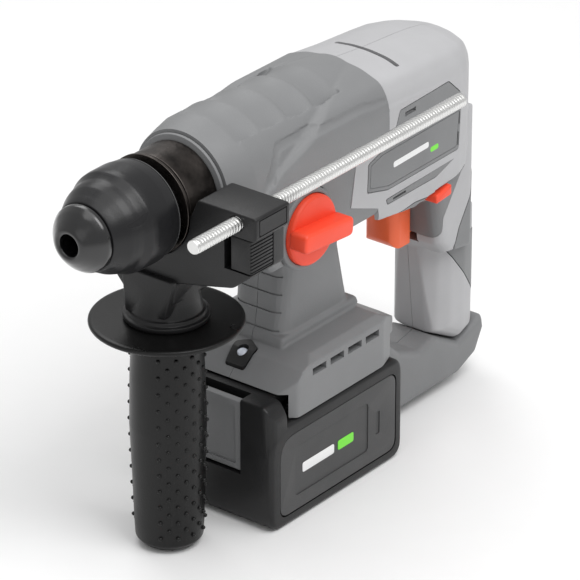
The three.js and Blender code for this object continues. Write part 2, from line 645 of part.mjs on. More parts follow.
function sideHandle() {
  const band = rod('x', -64.5, -45.6, 22.8, [0, 0, 0], FINE, COLLAR_R + GAP);
  add('clamp_band', cut(band, box([-70, -40], [-5, 5], [-30, 0])), BRONZE());

  const face = rounded([
    [61.5, 10.2], [61.5, -0.7], [58.4, -1.5], [58.4, -19], [48, -27.5], [31.5, -31.6], [16, -35], [14, -47],
    [-14, -47], [-23, -37], [-27, -16], [-25, -2], [0, -6], [24, 0], [28.6, 10.2],
  ], 1.5);
  const block = crossways(face, -67, -43);
  const web = crossways(rounded([[16, -34], [11.4, -54], [-12.2, -56], [-14, -34]], 1.5), -60, -40.2);
  const cup = turned('z', [
    [-60.6, 0], [-60.6, 20], [-58, 20], [-57, 18.3], [-50, 15.6], [-40, 14.5], [-40, 0],
  ], [CLAMP_X, 0, 0]);
  add('clamp_body', cut(
    join(block, web, cup),
    rod('x', -70, -40, 22.8 + GAP, [0, 0, 0], FINE),
    rod('x', -45.2, -40, 24 + GAP, [0, 0, 0], FINE),
    rod('x', -70, NECK_END + GAP, 27.6, [0, 0, 0], FINE),
    rod('x', -70, -40, ROD.r + GAP, [0, ROD.y, ROD.z]),
    box([-59.3, -40], [43.5, 70], [-18.6, -1.2]),
    rod('z', -70, -20, 4 + GAP, [CLAMP_X, 0, 0]),
    rod('z', -34, -20, 7.4, [CLAMP_X, 0, 0], 6),
  ), PLASTIC.black());
  add('clamp_bolt', join(
    rod('z', -94, -28, 4, [CLAMP_X, 0, 0], 12),
    rod('z', -33.4, -26, 6.8, [CLAMP_X, 0, 0], 6),
  ), STEEL());
  add('rod_lock_button', box([-59, -43.2], [47, 58.4], [-18.2, -1.6]), PLASTIC.black());
  add('depth_rod', turned('x', [
    [ROD.end, 0], [ROD.end, 2.6], [ROD.end + 1, ROD.r], [ROD.front - 1, ROD.r], [ROD.front, 2.6],
    [ROD.front, 0],
  ], [0, ROD.y, ROD.z], COARSE), BRIGHT());

  const grip = turned('z', [
    [HANDLE_END, 0], [HANDLE_END, 12], [-173, 15.9], [-140, 16.9], [-115, 17.9], [-90, 17.4], [-68, 16.4],
    [FLANGE.bottom - 1, 17.4], [FLANGE.bottom, FLANGE.r - 1.4], [FLANGE.bottom + 1.5, FLANGE.r],
    [FLANGE.top, FLANGE.r - 1.2], [FLANGE.top, 0],
  ], [CLAMP_X, 0, 0]);
  add('side_grip', cut(
    grip,
    rod('z', -97, -50, 4 + GAP, [CLAMP_X, 0, 0]),
    rod('z', -80, -50, 8, [CLAMP_X, 0, 0], 6),
  ), RUBBER());
  add('grip_nut', cut(
    rod('z', -79.6, -72, 7.6, [CLAMP_X, 0, 0], 6),
    rod('z', -90, -60, 4 + GAP, [CLAMP_X, 0, 0]),
  ), STEEL());
}

// ---------------------------------------------------------------- battery

function battery() {
  const { front, end, top, bottom, half } = BATTERY;
  const side = rounded([
    [front, top, 14], [end, top, 8], [end, bottom, 8], [front, bottom, 8],
  ], 8);
  const corners = 6;
  const base = rounded([[front, -half], [end, -half], [end, half], [front, half]], corners);
  const shell = keep(slab(side, half - 0.4), plan(base, bottom, top));
  const towerTop = -112;
  const brow = keep(
    crossways(sharp([
      [-35.6, -138], [-35.6, -123], [-27, towerTop], [27, towerTop], [35.6, -123], [35.6, -138],
    ]), -98.7, front),
    plan(base, -140, -100),
  );
  const tower = cut(
    box([-183.5, front - 8], [-RAIL.half, RAIL.half], [top - 12, towerTop]),
    box([-200, -80], [RAIL.groove, 40], [RAIL.bottom, RAIL.top]),
    box([-200, -80], [-40, -RAIL.groove], [RAIL.bottom, RAIL.top]),
  );
  const slots = [-8, 0, 8].map((y) => box([-190, -170], [y - 1, y + 1], [-121.5, -100]));
  const panel = rounded([
    [front - 6, top - 6, 11], [end + 5, top - 6, 6], [end + 5, bottom + 5, 6], [front - 6, bottom + 5, 6],
  ], 6);
  const cells = box([end + 2.6, front - 2.6], [-33, 33], [bottom + 2.6, -155.4]);
  const boardRoom = box([end + 2.6, -98], [-33, 33], [-156, -130]);
  add('battery_case', cut(
    join(shell, brow, tower),
    cells,
    boardRoom,
    ...slots,
    slab(panel, 1.2, { y: half - 0.4 }),
    slab(panel, 1.2, { y: 0.4 - half }),
    box([-95, -80], [-17, 17], [-151, -100]),
    rod('x', -110, -90, 3.6, [0, 0, -138]),
  ), PLASTIC.black());
  for (const [name, y] of [['left', 1], ['right', -1]]) {
    const plate = slab(panel, 0.6, { inset: GAP, y: y * (half - 0.6) });
    add(`battery_panel_${name}`, plate, PLASTIC.dark());
  }
  const pitch = 18.7;
  const middle = (front + end) / 2;
  const row = [-2, -1, 0, 1, 2].map((i) => rod('y', -32.5, 32.5, 9.2, [middle + i * pitch, 0, -165]));
  const strip = box([-178, -96], [-30, 30], [-167, -163]);
  add('battery_cells', join(strip, ...row), finish('#3f8f6b', 0.4));
  const plate = sharp([[-87, -113.4], [-91, -113.4], [-91, -150], [-87.6, -150]]);
  add('release_button', slab(plate, 16.5, { edge: 0.8, steps: 1 }), PLASTIC.mid());
  add('release_spring', spring('x', -109, -91.3, 2.8, 0.9, 6, [0, 0, -138]), STEEL());

  const blades = [-8, 0, 8].map((y) => box([-186, -172], [y - 0.5, y + 0.5], [-120.5, -113]));
  add('terminal_block', join(box([-188.7, -185], [-14, 14], [-122, -112]), ...blades), BRONZE());
}

// ---------------------------------------------------------------- screws in the right housing halves

function screw({ x, z, head }, room = 0) {
  return join(
    rod('y', -head - room, -head + 2 + room, 3 + room, [x, 0, z]),
    rod('y', -head + 1, -head + 8, 1.4 + room, [x, 0, z], 8),
  );
}

function screws() {
  SCREWS.forEach((place, i) => add(`housing_screw_${i + 1}`, screw(place), STEEL()));
}

chuck();
hammerMechanism();
motor();
gearCover();
motorHousing();
baseHousing();
panels();
controls();
sideHandle();
battery();
screws();

export default tool;
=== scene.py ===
# %% [markdown]
# # A cordless rotary hammer, piece by piece
# The hard parts of this tool are its moulded housings. Each one is a few simple masses melted together,
# and then cut crisply where it meets its neighbour. The small hardware is turned or extruded.
# Everything is measured from the engineering model, which is loaded first as a fixed frame.

# %% Load the frame
import json
from math import cos, pi, radians, sin

import bmesh
import bpy
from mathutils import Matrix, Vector


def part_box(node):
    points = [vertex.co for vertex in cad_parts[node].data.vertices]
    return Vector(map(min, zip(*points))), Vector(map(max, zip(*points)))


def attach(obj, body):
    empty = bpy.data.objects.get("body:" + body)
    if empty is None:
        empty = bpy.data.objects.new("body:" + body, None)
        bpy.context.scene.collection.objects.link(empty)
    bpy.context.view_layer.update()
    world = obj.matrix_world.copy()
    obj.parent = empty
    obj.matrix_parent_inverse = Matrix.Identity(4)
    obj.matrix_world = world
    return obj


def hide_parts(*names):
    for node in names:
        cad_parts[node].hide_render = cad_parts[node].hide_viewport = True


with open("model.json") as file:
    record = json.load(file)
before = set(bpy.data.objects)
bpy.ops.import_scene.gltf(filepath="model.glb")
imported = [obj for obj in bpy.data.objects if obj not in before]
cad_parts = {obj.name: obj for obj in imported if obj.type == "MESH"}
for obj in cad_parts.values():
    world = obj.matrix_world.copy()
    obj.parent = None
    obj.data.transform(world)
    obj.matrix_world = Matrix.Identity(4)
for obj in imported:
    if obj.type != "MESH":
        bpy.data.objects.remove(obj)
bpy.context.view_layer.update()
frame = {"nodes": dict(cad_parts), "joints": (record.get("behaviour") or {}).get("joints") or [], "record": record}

# %% [markdown]
# A toolmaker draws this machine from its spindle: along it, across it and up from it, in millimetres.
# The frame says where that line is. The seam behind the dust cap is zero along it, so each later cell can
# use plain workshop numbers and one function turns them into places in the frame.

# %% Workshop coordinates
MM = 0.001
SEAM_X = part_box("locking_sleeve")[1].x
AXIS_Z = next(j["pos_m"][2] for j in frame["joints"] if j["name"] == "spindle_turn")


def at(x, y, z):
    """A point given in millimetres from the spindle's seam."""
    return Vector((SEAM_X + x * MM, y * MM, AXIS_Z + z * MM))


def drawn(corner):
    """The opposite: a point of the frame in millimetres from the spindle's seam."""
    return ((corner.x - SEAM_X) / MM, corner.y / MM, (corner.z - AXIS_Z) / MM)


print(f"seam at {SEAM_X:.4f} m, spindle {AXIS_Z:.4f} m above the ground")

# %% [markdown]
# Moulded plastic is never one flat tone. Three effects do most of the work: a fine pebbled grain, a slow
# change of gloss where hands have polished it, and a paler line where edges have rubbed. They are groups,
# because every plastic on the tool needs them in its own amounts.

# %% Shared surface effects


def new_group(name, inputs, outputs):
    """An empty shader node group with its sockets, its input node and its output node."""
    group = bpy.data.node_groups.new(name, "ShaderNodeTree")
    for label, kind, value in inputs:
        socket = group.interface.new_socket(label, in_out="INPUT", socket_type=kind)
        socket.default_value = value
    for label, kind in outputs:
        group.interface.new_socket(label, in_out="OUTPUT", socket_type=kind)
    return group, group.nodes.new("NodeGroupInput"), group.nodes.new("NodeGroupOutput")


def math_node(tree, operation, a, b):
    """A Math node; each operand is a number or a socket."""
    node = tree.nodes.new("ShaderNodeMath")
    node.operation = operation
    for i, value in enumerate((a, b)):
        if isinstance(value, (int, float)):
            node.inputs[i].default_value = value
        else:
            tree.links.new(value, node.inputs[i])
    return node.outputs[0]


def grain_group():
    """Pebbled mould texture: a height from two sizes of noise."""
    group, start, end = new_group(
        "moulded_grain", [("Scale", "NodeSocketFloat", 1500.0)], [("Height", "NodeSocketFloat")])
    place = group.nodes.new("ShaderNodeTexCoord").outputs["Object"]
    cells = group.nodes.new("ShaderNodeTexVoronoi")
    cloud = group.nodes.new("ShaderNodeTexNoise")
    cloud.inputs["Detail"].default_value = 4
    for node in (cells, cloud):
        group.links.new(place, node.inputs["Vector"])
        group.links.new(start.outputs["Scale"], node.inputs["Scale"])
    total = math_node(group, "ADD", cells.outputs["Distance"], cloud.outputs["Fac"])
    group.links.new(total, end.inputs["Height"])
    return group


def handling_group():
    """Gloss that drifts between two roughnesses, with faint smears."""
    group, start, end = new_group(
        "handling_gloss",
        [("Polished", "NodeSocketFloat", 0.4), ("Dull", "NodeSocketFloat", 0.6)],
        [("Roughness", "NodeSocketFloat")])
    place = group.nodes.new("ShaderNodeTexCoord").outputs["Object"]
    cloud = group.nodes.new("ShaderNodeTexNoise")
    cloud.inputs["Scale"].default_value = 35
    cloud.inputs["Detail"].default_value = 6
    cloud.inputs["Distortion"].default_value = 0.6
    group.links.new(place, cloud.inputs["Vector"])
    spread = group.nodes.new("ShaderNodeMapRange")
    spread.inputs["From Min"].default_value = 0.3
    spread.inputs["From Max"].default_value = 0.7
    group.links.new(cloud.outputs["Fac"], spread.inputs["Value"])
    group.links.new(start.outputs["Polished"], spread.inputs["To Min"])
    group.links.new(start.outputs["Dull"], spread.inputs["To Max"])
    group.links.new(spread.outputs["Result"], end.inputs["Roughness"])
    return group


def tone_group():
    """A base colour with slow unevenness, and a worn colour on the outward edges."""
    group, start, end = new_group(
        "worn_tone",
        [("Colour", "NodeSocketColor", (0.5, 0.5, 0.5, 1)), ("Worn", "NodeSocketColor", (0.7, 0.7, 0.7, 1)),
         ("Unevenness", "NodeSocketFloat", 0.06), ("Wear", "NodeSocketFloat", 0.4)],
        [("Colour", "NodeSocketColor")])
    place = group.nodes.new("ShaderNodeTexCoord").outputs["Object"]
    cloud = group.nodes.new("ShaderNodeTexNoise")
    cloud.inputs["Scale"].default_value = 60
    cloud.inputs["Detail"].default_value = 5
    group.links.new(place, cloud.inputs["Vector"])
    centred = math_node(group, "SUBTRACT", cloud.outputs["Fac"], 0.5)
    swing = math_node(group, "MULTIPLY", centred, start.outputs["Unevenness"])
    factor = math_node(group, "ADD", math_node(group, "MULTIPLY", swing, 2.0), 1.0)
    shade = group.nodes.new("ShaderNodeVectorMath")
    shade.operation = "SCALE"
    group.links.new(start.outputs["Colour"], shade.inputs[0])
    group.links.new(factor, shade.inputs["Scale"])
    edge = group.nodes.new("ShaderNodeMapRange")
    edge.inputs["From Min"].default_value = 0.52
    edge.inputs["From Max"].default_value = 0.62
    edge.inputs["To Min"].default_value = 0
    edge.inputs["To Max"].default_value = 1
    group.links.new(group.nodes.new("ShaderNodeNewGeometry").outputs["Pointiness"], edge.inputs["Value"])
    rubbed = math_node(group, "MULTIPLY", edge.outputs["Result"], start.outputs["Wear"])
    broken = math_node(group, "MULTIPLY", rubbed, cloud.outputs["Fac"])
    mix = group.nodes.new("ShaderNodeMix")
    mix.data_type = "RGBA"
    group.links.new(broken, mix.inputs["Factor"])
    group.links.new(shade.outputs["Vector"], mix.inputs["A"])
    group.links.new(start.outputs["Worn"], mix.inputs["B"])
    group.links.new(mix.outputs["Result"], end.inputs["Colour"])
    return group


GRAIN, HANDLING, TONE = grain_group(), handling_group(), tone_group()
print("surface effects:", GRAIN.name, HANDLING.name, TONE.name)

# %% [markdown]
# Each finish is one Principled shader with the three effects wired in. What differs is how coarse the
# grain is, how far the gloss drifts, and whether the base is metal. Values that are the same all over go
# straight on the shader.

# %% Finishes


def use(tree, group, **values):
    """Places a shared effect in a material and sets its inputs."""
    node = tree.nodes.new("ShaderNodeGroup")
    node.node_tree = group
    for label, value in values.items():
        node.inputs[label].default_value = value
    return node


def finish(name, colour, gloss, grain=(1500, 0.12), metal=0.0, coat=0.0, wear=0.3, uneven=0.06, specular=0.4):
    """A procedural material. colour is linear, gloss is its two roughnesses, grain its scale and strength."""
    material = bpy.data.materials.new(name)
    material.use_nodes = True
    tree = material.node_tree
    shader = tree.nodes["Principled BSDF"]
    shader.inputs["Metallic"].default_value = metal
    shader.inputs["Coat Weight"].default_value = coat
    shader.inputs["Coat Roughness"].default_value = 0.25
    shader.inputs["Specular IOR Level"].default_value = specular
    lighter = tuple(min(1.0, c * 1.5 + 0.04) for c in colour)
    tone = use(tree, TONE, Colour=(*colour, 1), Worn=(*lighter, 1), Wear=wear, Unevenness=uneven)
    handled = use(tree, HANDLING, Polished=gloss[0], Dull=gloss[1])
    pebbles = use(tree, GRAIN, Scale=grain[0])
    bump = tree.nodes.new("ShaderNodeBump")
    bump.inputs["Strength"].default_value = grain[1]
    bump.inputs["Distance"].default_value = 0.0002
    tree.links.new(tone.outputs["Colour"], shader.inputs["Base Color"])
    tree.links.new(handled.outputs["Roughness"], shader.inputs["Roughness"])
    tree.links.new(pebbles.outputs["Height"], bump.inputs["Height"])
    tree.links.new(bump.outputs["Normal"], shader.inputs["Normal"])
    return material


LIGHT_GREY = finish("light_grey_plastic", (0.42, 0.42, 0.43), (0.38, 0.52), wear=0.12)
MID_GREY = finish("mid_grey_plastic", (0.2, 0.203, 0.207), (0.42, 0.56), grain=(1300, 0.2), wear=0.15)
DARK_GREY = finish("dark_grey_plastic", (0.058, 0.058, 0.059), (0.42, 0.58), grain=(1200, 0.25), wear=0.2)
BLACK = finish("black_plastic", (0.011, 0.011, 0.0115), (0.32, 0.46), grain=(1300, 0.2), wear=0.1, specular=0.35)
SATIN_BLACK = finish("sleeve_black", (0.011, 0.011, 0.012), (0.26, 0.38), grain=(1800, 0.12), wear=0.1, specular=0.35)
ORANGE = finish("orange_plastic", (0.9, 0.075, 0.032), (0.36, 0.48), grain=(1600, 0.1), wear=0.08)
# Painted highlight: the trigger's orange is paler than the other orange parts, standing in for the light that falls on
# the trigger.
HIGHLIT_TRIGGER_ORANGE = finish("trigger_orange_painted_highlight", (0.95, 0.155, 0.055), (0.36, 0.48), grain=(1600, 0.1), wear=0.08)
RUBBER = finish("black_rubber", (0.006, 0.006, 0.006), (0.26, 0.4), grain=(1400, 0.15), wear=0.05, specular=0.3)
CAP_RUBBER = finish("cap_rubber", (0.005, 0.005, 0.0055), (0.12, 0.24), grain=(1400, 0.05), coat=0.8, wear=0.05)
STEEL = finish("steel", (0.4, 0.4, 0.41), (0.25, 0.4), grain=(2500, 0.08), metal=1.0)
BRIGHT = finish("bright_steel", (0.78, 0.78, 0.77), (0.22, 0.36), grain=(2500, 0.1), metal=0.9)
BAND = finish("dark_steel", (0.06, 0.053, 0.049), (0.16, 0.46), grain=(420, 0.45), metal=1.0, uneven=1.6)
ALUMINIUM = finish("aluminium", (0.5, 0.5, 0.51), (0.4, 0.55), grain=(900, 0.3), metal=1.0)
COPPER = finish("copper", (0.5, 0.18, 0.08), (0.3, 0.45), grain=(1500, 0.2), metal=1.0)
CARBON = finish("carbon_black", (0.02, 0.02, 0.02), (0.6, 0.8), grain=(1000, 0.3))
BOARD = finish("circuit_board", (0.01, 0.08, 0.03), (0.3, 0.45), grain=(2000, 0.1))
CELL = finish("cell_wrap", (0.05, 0.27, 0.17), (0.2, 0.35), grain=(2000, 0.05))
LENS = finish("lens", (0.75, 0.8, 0.9), (0.05, 0.12), grain=(1500, 0.03), coat=0.5)
WHITE_PRINT = finish("white_print", (0.85, 0.85, 0.85), (0.4, 0.5), grain=(2500, 0.05), wear=0.0)
GREEN_PRINT = finish("green_print", (0.2, 0.78, 0.06), (0.4, 0.5), grain=(2500, 0.05), wear=0.0)
print(len(bpy.data.materials), "materials in the file")

# %% [markdown]
# Every piece starts as a closed mesh built from code. One function turns a profile, as a lathe does.
# Another pushes an outline through a thickness, as a die does, and rounds its rim. Corners are rounded
# first in the drawing, so that the rim's bevel has room.

# %% Turning and extruding


def rounded(corners, reach, steps=5):
    """The corners of an outline eased into short curves; a corner may carry its own reach as a third value."""
    points = []
    count = len(corners)
    for i, corner in enumerate(corners):
        here = Vector(corner[:2])
        before = Vector(corners[i - 1][:2]) - here
        after = Vector(corners[(i + 1) % count][:2]) - here
        r = corner[2] if len(corner) > 2 else reach
        if r <= 0:
            points.append(tuple(here))
            continue
        start = here + before.normalized() * min(r, before.length * 0.45)
        end = here + after.normalized() * min(r, after.length * 0.45)
        for k in range(steps + 1):
            t = k / steps
            points.append(tuple(start * (1 - t) ** 2 + here * 2 * t * (1 - t) + end * t * t))
    return points


def finished_mesh(name, bm):
    """A closed mesh object from a bmesh, with its faces turned outwards."""
    bmesh.ops.remove_doubles(bm, verts=bm.verts, dist=1e-7)
    bmesh.ops.recalc_face_normals(bm, faces=bm.faces)
    mesh = bpy.data.meshes.new(name)
    bm.to_mesh(mesh)
    bm.free()
    piece = bpy.data.objects.new(name, mesh)
    bpy.context.scene.collection.objects.link(piece)
    return piece


def turned(name, profile, axis="x", centre=(0, 0, 0), sides=96, ease=0.0):
    """A closed profile of (along, radius) turned about an axis through a point."""
    profile = rounded(profile, ease, 3) if ease else profile
    bm = bmesh.new()
    rings = []
    for along, r in profile:
        ring = []
        for i in range(1 if r < 1e-6 else sides):
            a, b = r * cos(2 * pi * i / sides), r * sin(2 * pi * i / sides)
            offset = {"x": (along, a, b), "y": (a, along, b), "z": (a, b, along)}[axis]
            ring.append(bm.verts.new(at(*(c + o for c, o in zip(centre, offset)))))
        rings.append(ring)
    for k, ring in enumerate(rings):
        other = rings[(k + 1) % len(rings)]
        if len(ring) == 1 and len(other) == 1:
            continue
        for i in range(sides):
            j = (i + 1) % sides
            if len(ring) == 1:
                bm.faces.new((ring[0], other[j], other[i]))
            elif len(other) == 1:
                bm.faces.new((ring[i], ring[j], other[0]))
            else:
                bm.faces.new((ring[i], ring[j], other[j], other[i]))
    return finished_mesh(name, bm)


def extruded(name, outline, plane, start, end, rim=0.0, ease=0.0, rim_steps=3):
    """An outline pushed from start to end across its plane: 'xz' goes along Y, 'xy' up, 'yz' along X."""
    outline = rounded(outline, ease) if ease else [tuple(p[:2]) for p in outline]
    bm = bmesh.new()
    caps = []
    for depth in (start, end):
        points = {"xz": lambda u, v: (u, depth, v), "xy": lambda u, v: (u, v, depth),
                  "yz": lambda u, v: (depth, u, v)}[plane]
        caps.append([bm.verts.new(at(*points(u, v))) for u, v in outline])
    faces = [bm.faces.new(caps[0]), bm.faces.new(caps[1])]
    count = len(outline)
    for i in range(count):
        j = (i + 1) % count
        bm.faces.new((caps[0][i], caps[0][j], caps[1][j], caps[1][i]))
    bmesh.ops.recalc_face_normals(bm, faces=bm.faces)
    if rim:
        edges = list({e for f in faces for e in f.edges})
        bmesh.ops.bevel(bm, geom=edges, offset=rim * MM, segments=rim_steps, profile=0.5, affect="EDGES")
    return finished_mesh(name, bm)


def tapered(name, section, stations, height, ease=3.0):
    """A front-view section run along X; each station gives its place, half width and top."""
    section = rounded(section, ease, 4)
    wide = max(y for y, z in section)
    high = max(z for y, z in section) - height
    bm = bmesh.new()
    rings = []
    for x, half, top in stations:
        rings.append([bm.verts.new(at(x, y * half / wide, height + (z - height) * (top - height) / high))
                      for y, z in section])
    for ring, other in zip(rings, rings[1:]):
        for i in range(len(section)):
            j = (i + 1) % len(section)
            bm.faces.new((ring[i], ring[j], other[j], other[i]))
    bm.faces.new(rings[0])
    bm.faces.new(rings[-1])
    return finished_mesh(name, bm)


def footprint(name, side, ease=1.5):
    """A tall block over a plan outline, given by the points of its left half from rear to front."""
    outline = side + [(x, -y) for x, y in reversed(side)]
    return extruded(name, outline, "xy", -178, 40, ease=ease)


def block(name, x, y, z, rim=0.0):
    """A block between its lowest and highest values, with rounded edges where asked."""
    corners = [(x[0], y[0]), (x[1], y[0]), (x[1], y[1]), (x[0], y[1])]
    return extruded(name, corners, "xy", z[0], z[1], rim, ease=rim * 1.6)


print("turning and extruding are ready")

# %% [markdown]
# Two more steps act like the mould shop. Joining or cutting solids gives crisp parting lines. Melting
# rebuilds the skin from small voxels and relaxes it, which gives the soft fillets between a barrel and a
# handle that no single bevel can.

# %% Joining, cutting and melting


def bake(piece):
    """Applies the piece's modifiers."""
    graph = bpy.context.evaluated_depsgraph_get()
    mesh = bpy.data.meshes.new_from_object(piece.evaluated_get(graph))
    old = piece.data
    piece.modifiers.clear()
    piece.data = mesh
    mesh.name = piece.name
    bpy.data.meshes.remove(old)
    return piece


def combine(piece, others, operation):
    """Joins, cuts or intersects the piece with each of the others, which are used up."""
    for other in others:
        change = piece.modifiers.new(operation.lower(), "BOOLEAN")
        change.operation = operation
        change.solver = "MANIFOLD"
        change.object = other
        bake(piece)
        bpy.data.objects.remove(other)
    return piece


def joined(piece, *others):
    return combine(piece, others, "UNION")


def cut(piece, *others):
    return combine(piece, others, "DIFFERENCE")


def common(piece, *others):
    return combine(piece, others, "INTERSECT")


def melted(piece, voxel=0.8, rounds=5):
    """Rebuilds the skin from voxels and relaxes it, so that inside corners become fillets."""
    skin = piece.modifiers.new("skin", "REMESH")
    skin.mode = "VOXEL"
    skin.voxel_size = voxel * MM
    relax = piece.modifiers.new("relax", "SMOOTH")
    relax.factor = 0.5
    relax.iterations = rounds
    return bake(piece)


def copied(piece, name, swell=0.0):
    """A copy of a piece, grown or shrunk along its normals."""
    twin = piece.copy()
    twin.data = piece.data.copy()
    twin.name = name
    bpy.context.scene.collection.objects.link(twin)
    if swell:
        normals = [v.normal.copy() for v in twin.data.vertices]
        for vertex, normal in zip(twin.data.vertices, normals):
            vertex.co += normal * swell * MM
    return twin


def seated(piece, body, material, slot, *nodes, crease=38):
    """Gives a finished piece its material, its shading and its body, and hides the nodes it stands for."""
    piece.data.materials.clear()
    piece.data.materials.append(material)
    for face in piece.data.polygons:
        face.material_index = 0
    piece.data.shade_smooth()
    piece.data.set_sharp_from_angle(angle=radians(crease))
    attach(piece, body)
    if nodes:
        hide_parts(*nodes)
    return piece


print("joining, cutting and melting are ready")

# %% [markdown]
# The chuck is what the user grips to change a bit. A glossy rubber cap keeps dust out, and behind it a
# satin sleeve flares to a rounded rim. Both are turned, so one eased profile each is the whole shape.

# %% Dust cap, locking sleeve and neck rings
seated(turned("dust_cap_skin", [
    (0.3, 5.2), (0.3, 16), (3, 15.9), (6, 13.9), (9, 11), (11.2, 8.4), (11.9, 6.6), (11.3, 5.2),
], ease=0.8), "spindle", CAP_RUBBER, "black_rubber", "dust_cap")
seated(turned("locking_sleeve_skin", [
    (0, 10.2), (0, 16.4), (-4, 18.4), (-8, 20.6), (-11, 21.6), (-14, 22.2), (-16, 23.2), (-18, 24.3),
    (-21, 24.6), (-30, 24.6), (-36.4, 23.7), (-36.4, 15), (-6, 15), (-6, 10.2),
], ease=0.6, sides=128), "chuck_sleeve", SATIN_BLACK, "black_plastic", "locking_sleeve", crease=12)
seated(turned("sleeve_rear_ring", [(-36.5, 16), (-36.5, 23.7), (-37, 23.7), (-37, 16)]),
       "chuck_sleeve", DARK_GREY, "black_plastic")
seated(turned("neck_ring_skin", [(-44.2, 14.2), (-44.2, 23.6), (-42.6, 23.6), (-42.6, 14.2)], ease=0.3),
       "tool", BAND, "steel", "neck_ring")

# %% [markdown]
# The gear cover is a bell over the gearbox with flat cheeks below it. The bell is turned, the cheeks are
# extruded, and the two are melted into one. It is then cut off flat at the rear where the motor housing
# laps it, and hollowed so that the gears inside have their room.

# %% Gear cover
COVER_END = -178
SIDE = 33.2
SIDE_ROOM = 30.2
BARREL_Z = -9
CHEEK = [(COVER_END, 2), (-152, -13), (-148.5, -32.5), (-170, -41), (-171, -48), (-200, -52), (-245, -48),
         (-263, -30), (-263, -8), (-257, 2)]
COVER_SIDE = [(-76, -8), (-86, -38), (-93, -46), (-172, -46), (-184, -42), (-184, 26), (-140, 19), (-100, 6)]
SHOULDER = [(SIDE, -20), (SIDE, 2), (32.2, 11), (27.6, 18.6), (16, 22.8), (5, 24.2)]
SHOULDERS = SHOULDER + [(-y, z) for y, z in reversed(SHOULDER)] + [(-26, -36), (26, -36)]
SIDE_BAND = [(-89, 1), (-101.5, 15.6), (-158, 15), (-178, 12.5), (-178, 10), (-158, 11.6), (-103, 11.6), (-93.5, -2)]
KNOB_X, KNOB_Z = drawn(sum(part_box("mode_seat"), Vector()) / 2)[0::2]


def cover_mass():
    bell = turned("gear_cover_skin", [
        (-184, 0), (-184, 24.4), (-160, 27.2), (-138, 28.6), (-117, 29.6), (-100, 30.2), (-83, 30.4),
        (-74, 28.6), (-66.5, 26.8), (-60, 25.4), (-60, 0)])
    flats = extruded("flats", COVER_SIDE, "xz", -SIDE, SIDE, 6)
    limit = tapered("limit", SHOULDERS, [(-184, SIDE, 24.2), (-70, SIDE, 24.2)], BARREL_Z)
    joined(limit, block("underside", (-184, -70), (-SIDE, SIDE), (-50, -18)))
    joined(bell, common(flats, limit))
    for k in range(4):
        x = -78 - 19.5 * k
        skin = 30.5 - 0.055 * max(0, -x - 90)
        arc = [(x - 19.5 * t / 8, skin - 1.5 * sin(pi * t / 8)) for t in range(9)]
        scallop = turned("scallop", arc + [(x - 19.5, 40), (x, 40)])
        common(scallop, block("top_only", (-175, -70), (-21, 21), (10, 45)))
        cut(bell, scallop)
    for side in (1, -1):
        across = sorted((side * 18, side * 45))
        band = extruded("band", SIDE_BAND, "xz", *across, ease=2)
        cut(bell, cut(band, copied(bell, "floor", -0.8)))
    return melted(bell, 0.7, 4)


cover = cover_mass()
lip = turned("lip", [(-66.4, 10), (-66.4, 25.5), (-65, 25.2), (-64.8, 21.4), (-43.5, 21.4), (-43.5, 10)], ease=0.3)
joined(cut(cover, block("front_trim", (-66.9, -40), (-40, 40), (-40, 40))), lip,
       turned("lip_neck", [(-68, 10), (-68, 24.6), (-66, 24.6), (-66, 10)]))
room = turned("cover_room", [
    (-190, 0), (-190, 21.6), (-160, 24.2), (-138, 25.6), (-117, 26.4), (-83, 26.6), (-74, 25), (-69, 23),
    (-62, 18.4), (-40, 18.4), (-40, 0)])
side_room = [(-79, -11), (-88, -36), (-94.5, -43), (-190, -43), (-190, -6)]
joined(room, extruded("side_room", side_room, "xz", -SIDE_ROOM, SIDE_ROOM))
window = [(x + 0.3 if x > COVER_END else -300, z) for x, z in CHEEK]
window_cut = extruded("window", window, "xz", -40, 40)
cut(window_cut, block("between", (-300, 0), (0.3 - SIDE_ROOM, SIDE_ROOM - 0.3), (-100, 100)))
cut(cover, room, window_cut, block("rear", (-300, COVER_END), (-60, 60), (-80, 60)),
    turned("seat_hole", [(26, 0), (26, 20.2), (40, 20.2), (40, 0)], "y", (KNOB_X, 0, KNOB_Z)),
    turned("stem_hole", [(0, 0), (0, 6.6), (30, 6.6), (30, 0)], "y", (KNOB_X, 0, KNOB_Z)))
seated(cover, "tool", MID_GREY, "mid_grey_plastic", "gear_cover")
print("gear cover:", len(cover.data.polygons), "faces")

# %% [markdown]
# The motor housing carries the barrel, the yoke and the D-handle's grip in one moulding, split down the
# middle like a clamshell. The parting line is real on such tools, so the two halves are cut apart with
# a hair's gap and not drawn on.

# %% Motor housing
YOKE = [(-180, -38), (-180, -52), (-200, -57.5), (-227, -62), (-232, -88), (-238, -95), (-262, -99),
        (-277, -92), (-271, -60), (-266, -26), (-230, -26)]
GRIP = [(-232, -84), (-238, -96), (-241, -126), (-243, -143.2), (-262, -153.4), (-281.5, -146.6), (-282, -140),
        (-280.5, -110), (-277, -84), (-262, -76)]
BARREL = [(-168, 33, 24.6), (COVER_END, 32.7, 24), (-199, 32.1, 21.7), (-225, 31.3, 20), (-236, 31, 18.9),
          (-246, 28, 17.4), (-256, 21.6, 14.2), (-261, 16, 11), (-263.6, 11, 4)]
CHEEK_PLAN = [(-264.6, 6), (-261, 16), (-256, 21.6), (-246, 28), (-236, 31), (-140, 33.8)]
YOKE_PLAN = [(-276, 8), (-266, 17), (-256, 24), (-170, 24)]
GRIP_PLAN = [(-283, 4), (-278, 9.5), (-271, 14), (-262, 16.5), (-252, 16.3), (-245, 13), (-240, 8), (-237, 3)]


